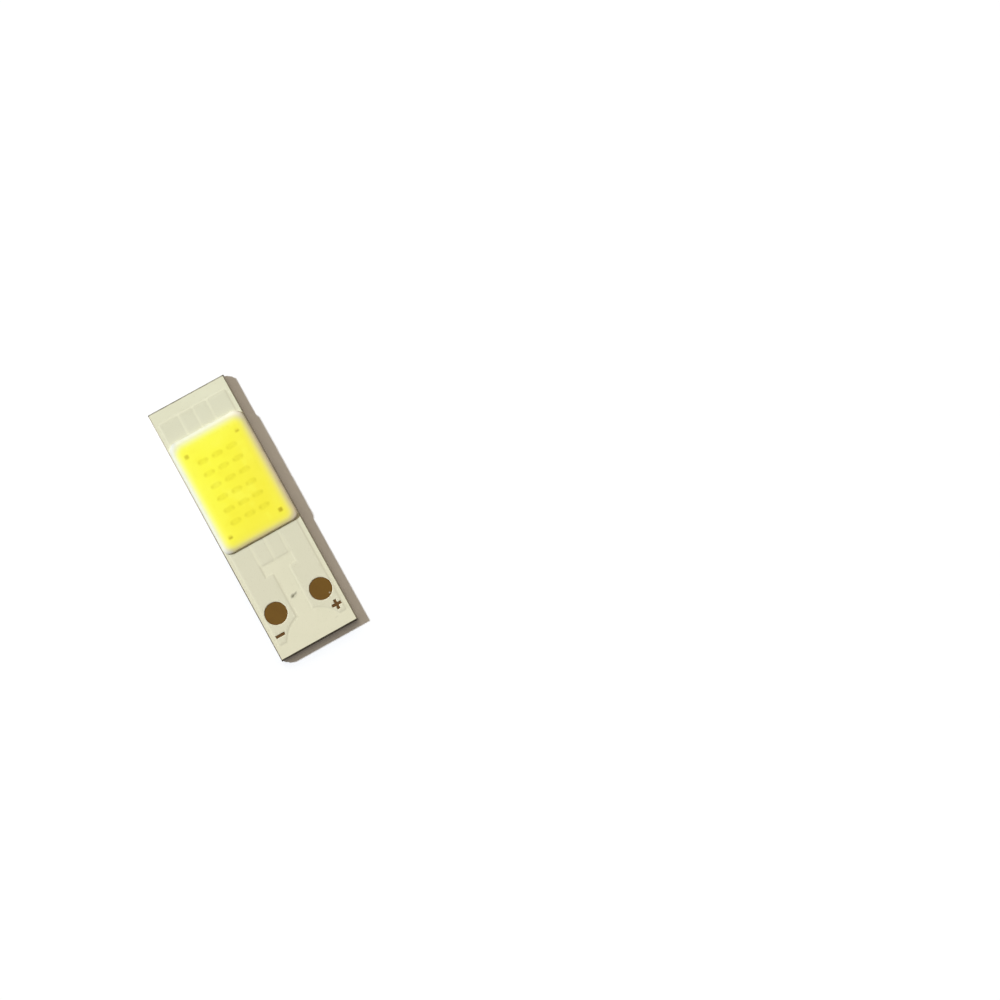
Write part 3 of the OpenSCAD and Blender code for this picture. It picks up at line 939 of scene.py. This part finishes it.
# %% [markdown]
# ## Finish of the gel
#
# The gel is clear silicone filled with fine yellow phosphor. The dice and their solder joints show through
# it as faint olive smears with darker ends, and the sighting squares as small brown spots, two of them half
# hidden. They are blurred and uneven, because the gel scatters light. The shader folds coordinates onto the
# nearest die as the mask did, with a Wrap node, and measures a capsule there. The coordinates stray a little
# first, so no two smears are alike. The dice lie below a third of a millimetre of scattering gel, so drawing
# their faint shade in the finish is steadier than rendering the scatter. The gel's face is dull, so the
# shade isn't lost in the sun's reflection.

# %% Phosphor gel finish
GHOST, FILL_SHARE, OUTLINE_SHARE = paint(217, 207, 36), 0.32, 0.05
GHOST_DARK, ENDS_SHARE = paint(198, 184, 22), 0.22
SIGHT_BROWN = paint(174, 150, 8)
SIGHT_NEAR_SHARE, SIGHT_FAR_SHARE = 0.72, 0.52
GEL_LIGHT = paint(254, 251, 85)
GEL_DEEP = paint(246, 237, 61)
GHOST_LONG, GHOST_R, GHOST_BLUR = 0.42 * mm, 0.33 * mm, 0.17 * mm
GHOST_END = 0.54 * mm                                 # the dark ends lie this far from a die's middle
GHOST_STRAY = 0.20 * mm
SPOT_BLUR = 0.15 * mm
SPOT_POWER = 3.2                                      # 2 is a round spot, and more is squarer


def die_shade(gel, x, y):
    """Shares of fill, outline and dark ends at a point, from its distance to the capsule round a die."""
    die_x = gel.math("WRAP", x, column_pitch / 2, -column_pitch / 2)
    die_y = gel.math("WRAP", gel.minus(y, dice_y[0]), row_pitch / 2, -row_pitch / 2)
    along = gel.absolute(die_x)
    past_end = gel.math("MAXIMUM", gel.minus(along, GHOST_LONG), 0.0)
    distance = gel.minus(gel.hypot(past_end, die_y), GHOST_R)
    fill = gel.span(distance, GHOST_BLUR, -GHOST_BLUR)
    outline = gel.span(gel.absolute(distance), GHOST_BLUR, 0.0)
    ends = gel.span(gel.hypot(gel.minus(along, GHOST_END), die_y), GHOST_R, 0.0)
    ends = gel.times(ends, gel.span(die_x, -GHOST_LONG, GHOST_LONG, 1.0, 0.7))
    in_columns = gel.math("LESS_THAN", gel.absolute(x), len(dice_x) * column_pitch / 2)
    from_middle = gel.absolute(gel.minus(y, field_y))
    in_rows = gel.math("LESS_THAN", from_middle, len(dice_y) * row_pitch / 2)
    return [gel.times(share, in_columns, in_rows) for share in (fill, outline, ends)]


def sight_shade(gel, x, y):
    """Share of the brown spots: two whole, and two of which only the near half shows. The far ones are
    fainter."""
    from_middle = gel.minus(y, field_y)
    off_x = gel.minus(gel.absolute(x), SIGHT_X)
    off_y = gel.minus(gel.absolute(from_middle), SIGHT_FROM_MIDDLE)
    reach = gel.hypot(off_x, off_y, SPOT_POWER)
    spot = gel.span(reach, SIGHT_HALF + SPOT_BLUR, SIGHT_HALF - SPOT_BLUR)
    half_hidden = gel.math("GREATER_THAN", gel.times(x, from_middle), 0.0)
    farness = gel.times(off_y, gel.math("SIGN", from_middle))
    covered = gel.times(half_hidden, gel.span(farness, -GHOST_BLUR, GHOST_BLUR, 0.0, 0.7))
    strength = gel.span(from_middle, -SIGHT_FROM_MIDDLE, SIGHT_FROM_MIDDLE, SIGHT_NEAR_SHARE, SIGHT_FAR_SHARE)
    return gel.times(spot, gel.minus(1.0, covered), strength)


def phosphor_gel():
    """Yellow gel: rim fade, broad mottling, fine phosphor grain, and the blurred dice and squares."""
    gel = Finish("phosphor_gel", Specular_IOR_Level=0.08)
    colour = rim_colour(gel)
    inside = gel.span(gel.attribute("rim"), -1.0, -2.2)
    mottle = gel.noise(2.2 * mm, detail=3.0)
    colour = gel.mix(gel.times(inside, gel.span(mottle, 0.5, 0.75, 0.0, 0.6)), colour, GEL_LIGHT)
    colour = gel.mix(gel.times(inside, gel.span(mottle, 0.5, 0.28, 0.0, 0.5)), colour, GEL_DEEP)
    stray_x, stray_y, _ = gel.axes(gel.wander(0.6 * mm, GHOST_STRAY))
    fill, outline, ends = die_shade(gel, stray_x, stray_y)
    uneven = gel.span(gel.noise(0.7 * mm, detail=3.0), 0.35, 0.65, 0.6, 1.0)
    ghost = gel.math("ADD", gel.times(fill, uneven, FILL_SHARE), gel.times(outline, uneven, OUTLINE_SHARE))
    colour = gel.mix(ghost, colour, GHOST)
    patchy = gel.span(gel.noise(0.8 * mm), 0.3, 0.6, 0.5, 1.0)
    colour = gel.mix(gel.times(ends, patchy, ENDS_SHARE), colour, GHOST_DARK)
    x, y, _ = gel.axes()
    colour = gel.mix(sight_shade(gel, x, y), colour, SIGHT_BROWN)
    grain = gel.span(gel.grains(0.06 * mm), 0.15, 0.5, 0.12, 0.0)
    colour = gel.mix(gel.times(grain, inside), colour, GEL_DEEP)
    gel.set("Base Color", colour)
    gel.roughen(gel.noise(0.5 * mm), 0.56, 0.61)
    gel.bump(gel.noise(0.25 * mm, detail=3.0), 0.0025 * mm)
    return gel.done()


gel_finish = phosphor_gel()

# %% [markdown]
# ## The gel
#
# The gel is poured level with the bead's crest and swells a little in the middle. Its face is a grid
# stretched over a rounded rectangle: each row is as wide as the rectangle is at that height, so there is no
# pole. Rows and columns follow a sine, which crowds them at the rim where the shape turns. Below the rim, the
# sides follow the inner curve of the bead, and the underside drapes over the mask and the dice, so the pool
# is closed.

# %% Build the gel
FIELD_ROWS, FIELD_COLUMNS, WALL_ROWS = 161, 81, 7
SHOULDER = 0.9 * mm                                   # width of the rise inwards from the crest
DIE_DRAPE = 0.2 * mm                                  # the underside is level this far past a die


def field_point(u, v, inset):
    """Point of the rounded rectangle, inset from the bead's middle line: v runs from -1 to 1 along Y, and u
    runs from -1 to 1 over the rectangle's own width at that Y."""
    half_x, half_y = bead_x - inset, bead_y - inset
    corner = np.maximum(DAM_CORNER - inset, SMALLEST_CORNER)
    past = np.clip(np.abs(v) * half_y - (half_y - corner), 0.0, corner)
    width = half_x - corner + np.sqrt(corner ** 2 - past ** 2)
    return u * width, dam_y + v * half_y


def gel_height(x, y):
    """Height of the gel's face: a rounded shoulder inwards from each side, multiplied together, that starts
    at the bead's crest."""
    from_x = np.clip((bead_x - np.abs(x)) / SHOULDER, 0.0, 1.0)
    from_y = np.clip((bead_y - np.abs(y - dam_y)) / SHOULDER, 0.0, 1.0)
    rise = (1 - (1 - from_x) ** 2) * (1 - (1 - from_y) ** 2)
    return dam_high.z + (gel_high.z - dam_high.z) * rise


def drape_height(x, y):
    """Height of the gel's underside: the mask, raised smoothly to the top of each die."""
    die_x, die_y = nearest_die(x, y)
    low, high = dice["led_die_r1c1"]
    half_long, half_wide = (high.x - low.x) / 2, (high.y - low.y) / 2
    away = rounded_distance(die_x, die_y, (-half_long, -half_wide), (half_long, half_wide), 0.0)
    ground = mask_height(x, y)
    return ground + (high.z - ground) * (1 - smooth_step(away / DIE_DRAPE - 1.0))


def border_loop(rows, columns):
    """Numbers of a grid's border points, counter-clockwise from its first corner."""
    number = np.arange(rows * columns).reshape(rows, columns)
    return np.concatenate([number[0, :-1], number[:-1, -1], number[-1, :0:-1], number[:0:-1, 0]])


v, u = np.meshgrid(crowded_ends(FIELD_ROWS), crowded_ends(FIELD_COLUMNS), indexing="ij")
face_x, face_y = field_point(u, v, 0.0)
under_x, under_y = field_point(u, v, BEAD_HALF)
border = border_loop(FIELD_ROWS, FIELD_COLUMNS)
wall_aside = -np.sin(np.linspace(0.0, math.pi / 2, WALL_ROWS + 1)[1:-1, None])
wall_x, wall_y = field_point(u.ravel()[border], v.ravel()[border], -BEAD_HALF * wall_aside)
gel_points = np.concatenate([
    point_rows(face_x, face_y, gel_height(face_x, face_y)),
    point_rows(under_x, under_y, drape_height(under_x, under_y)),
    point_rows(wall_x, wall_y, mask_high.z + bead_height * bead_rise(wall_aside)),
])
field_count = face_x.size
face_quads = grid_quads(FIELD_ROWS, FIELD_COLUMNS)
rings = np.concatenate([
    border[None],
    2 * field_count + np.arange(wall_x.size).reshape(wall_x.shape),
    border[None] + field_count,
])
wall_quads = rings.ravel()[grid_quads(*rings.shape, around_columns=True)][:, ::-1]
gel_piece = add_piece("gel_pool", gel_points, [face_quads], [wall_quads, face_quads[:, ::-1] + field_count],
                      gel_finish, "phosphor_gel")
carry(gel_piece, "rim", rim_scale(gel_points[:, 0], gel_points[:, 1]))

# %% [markdown]
# ## The board's edges
#
# Boards like this are made many to a panel. A cutter scores a V along each line on both faces, and the
# panel is then snapped, so every edge has two smooth bevels and a torn web between them. The aluminium core
# is a section carried round the rectangle. Each point of the section is an inset and a height, and a loop of
# the unit square is scaled to the board's half sizes less that inset, which mitres the corners. Seeded
# numbers, averaged with their neighbours, roughen the web and barely touch the bevels.

# %% A slab with a worked edge
EDGE_STEP = 0.09 * mm
RAGGED_PASSES = 3                                     # times that the seeded numbers are averaged


def square_loop(across, along):
    """Outline of the square from -1 to 1, counter-clockwise, with that many steps on its X and Y sides."""
    run_x = np.linspace(-1, 1, across, endpoint=False)
    run_y = np.linspace(-1, 1, along, endpoint=False)
    ones_x, ones_y = np.ones(across), np.ones(along)
    x = np.concatenate([run_x, ones_y, -run_x, -ones_y])
    y = np.concatenate([-ones_x, run_y, ones_x, -run_y])
    return x, y


def ragged(shape):
    """Seeded numbers of unit spread, averaged with their neighbours round the loop and down the section."""
    values = seeded.standard_normal(shape)
    for _ in range(RAGGED_PASSES):
        values = (values + np.roll(values, 1, 0) + np.roll(values, -1, 0)) / 3
        values[:, 1:-1] = (values[:, 1:-1] + values[:, 2:] + values[:, :-2]) / 3
    return values / values.std()


def edge_slab(name, half, section, finish, node):
    """Closed slab from a section of (inset, height, roughness) rows, top first, carried round a rectangle."""
    inset, height, rough = np.array(section).T
    loop_x, loop_y = square_loop(round(2 * half.x / EDGE_STEP), round(2 * half.y / EDGE_STEP))
    inset = np.maximum(inset + rough * np.abs(ragged((len(loop_x), len(inset)))), 0.0)
    x = loop_x[:, None] * (half.x - inset)
    y = loop_y[:, None] * (half.y - inset)
    numbers = np.arange(x.size).reshape(x.shape)
    sides = grid_quads(*x.shape, around_rows=True)
    caps = [numbers[:, 0][None], numbers[::-1, -1][None]]
    piece = add_piece(name, point_rows(x, y, height), [sides], caps, finish, node)
    run = running_total(np.hypot(np.diff(x[:, 0]), np.diff(y[:, 0])))
    down = running_total(np.hypot(np.diff(section[:, 0]), np.diff(section[:, 1])))
    carry(piece, "edge_run", point_rows(run[:, None], down, 0.0))


print("edge loop: one point every", EDGE_STEP / mm, "mm")

# %% [markdown]
# ## Finish of the aluminium
#
# The underside is rolled sheet, so it carries fine lines along the board. The bevels carry the cutter's
# marks, which run along each edge, and the torn web is dull and pitted. Handling has left the edges a dull
# brown-grey, darkest at the far end. The near end's wall lies in shade and is painted darker and browner,
# as painted shade. The plus side's edge lies in shade too, yet is painted bright, as a painted reflection of
# the lit floor in its metal, and the minus side's gets brighter towards the far end. The mesh carries how far
# each point lies along the edge and down the section, so the marks follow the edge round the corners. The
# shader tells the faces from the edges by the surface normal.

# %% Scored aluminium
ALUMINIUM_DARK, ALUMINIUM_LIGHT = paint(150, 149, 144), paint(196, 196, 192)
EDGE_DARK, EDGE_LIGHT = paint(80, 71, 58), paint(116, 106, 91)
EDGE_STAINED, EDGE_BRIGHT = paint(52, 45, 34), paint(188, 179, 162)
NEAR_WALL_SHADE = paint(50, 38, 22)
WEB_DULL = paint(90, 81, 68)
END_FROM, END_TO = 0.30 * mm, 0.15 * mm               # an end's tone starts and is full this far from it
TONE_SHARE = 0.8                                      # of the bright and stained tones
CLEAN_FROM, CLEAN_TO = -8 * mm, 14 * mm               # where the minus side gets brighter


def at_end(finish, place, end):
    """Share that is 1 at one end of the board along an axis, and 0 away from it. A low end is below zero."""
    inwards = -math.copysign(1.0, end)
    return finish.span(place, end + inwards * END_FROM, end + inwards * END_TO)


def edge_tone(finish, colour, bright, stained):
    """Colour of an edge: stained at the far end, brighter at the minus side's far half, and brighter at the
    plus side, where it lies in shade and the brightness is painted light.
    """
    x, y, _ = finish.axes()
    minus_side = finish.times(at_end(finish, x, board_low.x), finish.span(y, CLEAN_FROM, CLEAN_TO))
    # painted light: the plus side's edge lies in shade, and its bright tone stands in for the lit floor it
    # reflects
    brightened = finish.math("MAXIMUM", at_end(finish, x, board_high.x), minus_side)
    colour = finish.mix(finish.times(brightened, TONE_SHARE), colour, bright)
    return finish.mix(finish.times(at_end(finish, y, board_high.y), TONE_SHARE), colour, stained)


def scored_aluminium():
    """Rolled aluminium faces and scored, snapped edges."""
    metal = Finish("scored_aluminium", Specular_IOR_Level=0.15)
    upright = metal.absolute(metal.axes(metal.read("ShaderNodeNewGeometry", "True Normal"))[2])
    flatness = metal.span(upright, 0.75, 0.9)
    steepness = metal.span(upright, 0.30, 0.12)
    rolled = metal.noise(1.0, detail=3.0, place=metal.local((0, 0, 0), (0.05 * mm, 5 * mm, 1.0)))
    edge_run = metal.attribute("edge_run", "Vector")
    along_cut = metal.local((0, 0, 0), (1.6 * mm, 0.03 * mm, 1.0), place=edge_run)
    cut = metal.noise(1.0, detail=3.0, place=along_cut)
    torn = metal.noise(0.09 * mm, detail=4.0)
    face = metal.mix(metal.span(rolled, 0.3, 0.7), ALUMINIUM_DARK, ALUMINIUM_LIGHT)
    edge = metal.mix(metal.span(cut, 0.3, 0.7), EDGE_DARK, EDGE_LIGHT)
    edge = edge_tone(metal, edge, EDGE_BRIGHT, EDGE_STAINED)
    edge = metal.mix(metal.times(steepness, metal.span(torn, 0.3, 0.7, 0.25, 0.95)), edge, WEB_DULL)
    # painted shade: the near end's wall, which lies in shade, is painted darker and browner
    near_end = at_end(metal, metal.axes()[1], board_low.y)
    edge = metal.mix(metal.times(near_end, metal.span(steepness, 0.0, 1.0, 0.3, 0.7)), edge, NEAR_WALL_SHADE)
    metal.set("Base Color", metal.mix(flatness, edge, face))
    metal.set("Metallic", metal.span(flatness, 0.0, 1.0, 0.08, 0.8))
    metal.set("Roughness", metal.span(flatness, 0.0, 1.0, 0.70, 0.42))
    cut_lines = metal.times(cut, metal.minus(1.0, flatness))
    lines = metal.math("ADD", metal.times(rolled, flatness), cut_lines)
    metal.bump(metal.math("ADD", metal.times(lines, 0.25), metal.times(torn, steepness)), 0.02 * mm)
    return metal.done()


core_finish = scored_aluminium()

# %% Build the aluminium core
SCORE_DEPTH = 0.3 * mm
WEB_ROUGH, BEVEL_ROUGH = 0.022 * mm, 0.003 * mm
BEVEL_ROWS, WEB_ROWS = 4, 8

score_inset = board_high.x - layer_high.x
bevel = np.linspace(0.0, 1.0, BEVEL_ROWS)
web = np.linspace(0.0, 1.0, WEB_ROWS + 2)[1:-1]
section_inset = np.concatenate([score_inset * (1 - bevel), np.zeros(WEB_ROWS), score_inset * bevel])
section_z = np.concatenate([
    board_high.z - SCORE_DEPTH * bevel,
    board_high.z - SCORE_DEPTH - (board_high.z - 2 * SCORE_DEPTH) * web,
    SCORE_DEPTH * (1 - bevel),
])
section_rough = np.repeat((BEVEL_ROUGH, WEB_ROUGH, BEVEL_ROUGH), (BEVEL_ROWS, WEB_ROWS, BEVEL_ROWS))
core_section = point_rows(section_inset, section_z, section_rough)
edge_slab("aluminium_core", board_high, core_section, core_finish, "base_plate")

# %% [markdown]
# ## The insulating layer
#
# A thin layer of filled resin holds the copper to the core. It shows only as a line round the board's rim,
# where the score chipped it, darker than the mask above it and stained like the core's edges. It is the same
# slab with a different section.

# %% Insulating resin
RESIN_ROUGH = 0.008 * mm
RESIN_ROWS = 5
RESIN, RESIN_DARK, RESIN_FILLER = paint(112, 104, 82), paint(84, 76, 58), paint(140, 132, 108)
# the bright tone is painted light on the plus side's margin, which lies in shade
RESIN_STAINED, RESIN_BRIGHT = paint(50, 43, 30), paint(160, 151, 126)


def filled_resin():
    """Olive-brown resin with pale filler grains."""
    resin = Finish("filled_resin", Specular_IOR_Level=0.3)
    colour = resin.mix(resin.span(resin.noise(0.3 * mm, detail=4.0), 0.35, 0.65), RESIN, RESIN_DARK)
    filler = resin.span(resin.grains(0.05 * mm), 0.30, 0.12, 0.0, 0.45)
    colour = resin.mix(filler, colour, RESIN_FILLER)
    resin.set("Base Color", edge_tone(resin, colour, RESIN_BRIGHT, RESIN_STAINED))
    resin.roughen(resin.noise(0.1 * mm), 0.55, 0.8)
    resin.bump(resin.noise(0.06 * mm, detail=3.0), 0.006 * mm)
    return resin.done()


resin_z = np.linspace(layer_high.z, layer_low.z, RESIN_ROWS)
resin_section = point_rows(0.0, resin_z, np.linspace(1.0, 0.3, RESIN_ROWS) * RESIN_ROUGH)
edge_slab("insulating_layer", layer_high, resin_section, filled_resin(), "dielectric_layer")

# %% [markdown]
# ## Copper, solder and dice
#
# These pieces keep the shape of their solids, so they only get finishes. The bare copper of the pads has
# darkened to an even brown. It is darker and redder in the narrow marks and right at the mask's rim, where
# the lacquer's edge shades it. A pale fleck of lacquer sticks to the plus pad near its rim. The solder and
# the dice lie under the gel, and are finished all the same, so that the module is right if its gel is taken
# off.

# %% Tarnished copper
COPPER_BROWN, COPPER_DARK = paint(108, 78, 27), paint(101, 71, 24)
COPPER_RED, COPPER_MARK = paint(96, 62, 30), paint(97, 68, 33)
PAD_RIM = 0.12 * mm                                   # width of the redder rim
FLECK, FLECK_SHARE = paint(208, 198, 172), 0.55
FLECK_FROM_PAD = Vector((0.75, -0.98, 0.0)) * mm
FLECK_R = 0.15 * mm


def from_twins(finish, x, y):
    """Distance to the nearer of two points that lie at the same Y, at x and at less x."""
    place_x, place_y, _ = finish.axes()
    return finish.hypot(finish.minus(finish.absolute(place_x), x), finish.minus(place_y, y))


def tarnished_copper():
    """Brown copper with faint blotches and fine rolling lines, redder at the pads' rims and in the marks, and
    with a pale fleck on the plus pad."""
    copper = Finish("tarnished_copper", Metallic=0.15, Specular_IOR_Level=0.15)
    blotches = copper.span(copper.noise(0.8 * mm, detail=4.0), 0.35, 0.7)
    rolling = copper.noise(1.0, place=copper.local((0, 0, 0), (0.04 * mm, 1.5 * mm, 1.0)))
    colour = copper.mix(copper.times(blotches, 0.5), COPPER_BROWN, COPPER_DARK)
    colour = copper.mix(copper.span(rolling, 0.35, 0.7, 0.0, 0.3), colour, COPPER_DARK)
    from_pad = from_twins(copper, pad.x, pad.y)
    colour = copper.mix(copper.span(from_pad, PAD_R - PAD_RIM, PAD_R, 0.0, 0.8), colour, COPPER_RED)
    from_mark = from_twins(copper, MARK_X, MARK_Y)
    colour = copper.mix(copper.span(from_mark, MARK_LONG, MARK_LONG / 2), colour, COPPER_MARK)
    local = copper.local(pad + FLECK_FROM_PAD, (FLECK_R, FLECK_R, FLECK_R))
    colour = copper.mix(copper.span(copper.length(local), 1.0, 0.3, 0.0, FLECK_SHARE), colour, FLECK)
    copper.set("Base Color", colour)
    copper.set("Roughness", copper.span(blotches, 0.0, 1.0, 0.57, 0.61))
    copper.bump(rolling, 0.003 * mm)
    return copper.done()


def dress(names, finish):
    """Puts a finish on the solids themselves."""
    for name in names:
        for material_slot in frame["nodes"][name].material_slots:
            material_slot.material = finish.material
    print("dressed:", len(names), "solids in", finish.material.name)


dress(["negative_bus", "positive_bus", "link_strip_1", "link_strip_2"], tarnished_copper())

# %% Solder and sapphire
SOLDER_DARK, SOLDER_LIGHT = paint(190, 190, 186), paint(214, 214, 210)
SAPPHIRE_DARK, SAPPHIRE_LIGHT = paint(196, 208, 214), paint(222, 230, 234)
SAPPHIRE_IOR = 1.77


def reflowed_solder():
    """Grey metal with a frosted, grainy skin."""
    solder = Finish("reflowed_solder", Metallic=0.9)
    frost = solder.noise(0.05 * mm, detail=3.0)
    solder.set("Base Color", solder.mix(frost, SOLDER_DARK, SOLDER_LIGHT))
    solder.roughen(frost, 0.28, 0.5)
    solder.bump(frost, 0.004 * mm)
    return solder.done()


def sapphire_die():
    """Pale blue-grey crystal with a faintly frosted top."""
    crystal = Finish("sapphire_die", IOR=SAPPHIRE_IOR)
    frost = crystal.noise(0.04 * mm)
    crystal.set("Base Color", crystal.mix(frost, SAPPHIRE_DARK, SAPPHIRE_LIGHT))
    crystal.roughen(frost, 0.12, 0.3)
    crystal.bump(frost, 0.001 * mm)
    return crystal.done()


dress(["die_solder"], reflowed_solder())
dress(list(dice), sapphire_die())

# %% [markdown]
# ## Finish
#
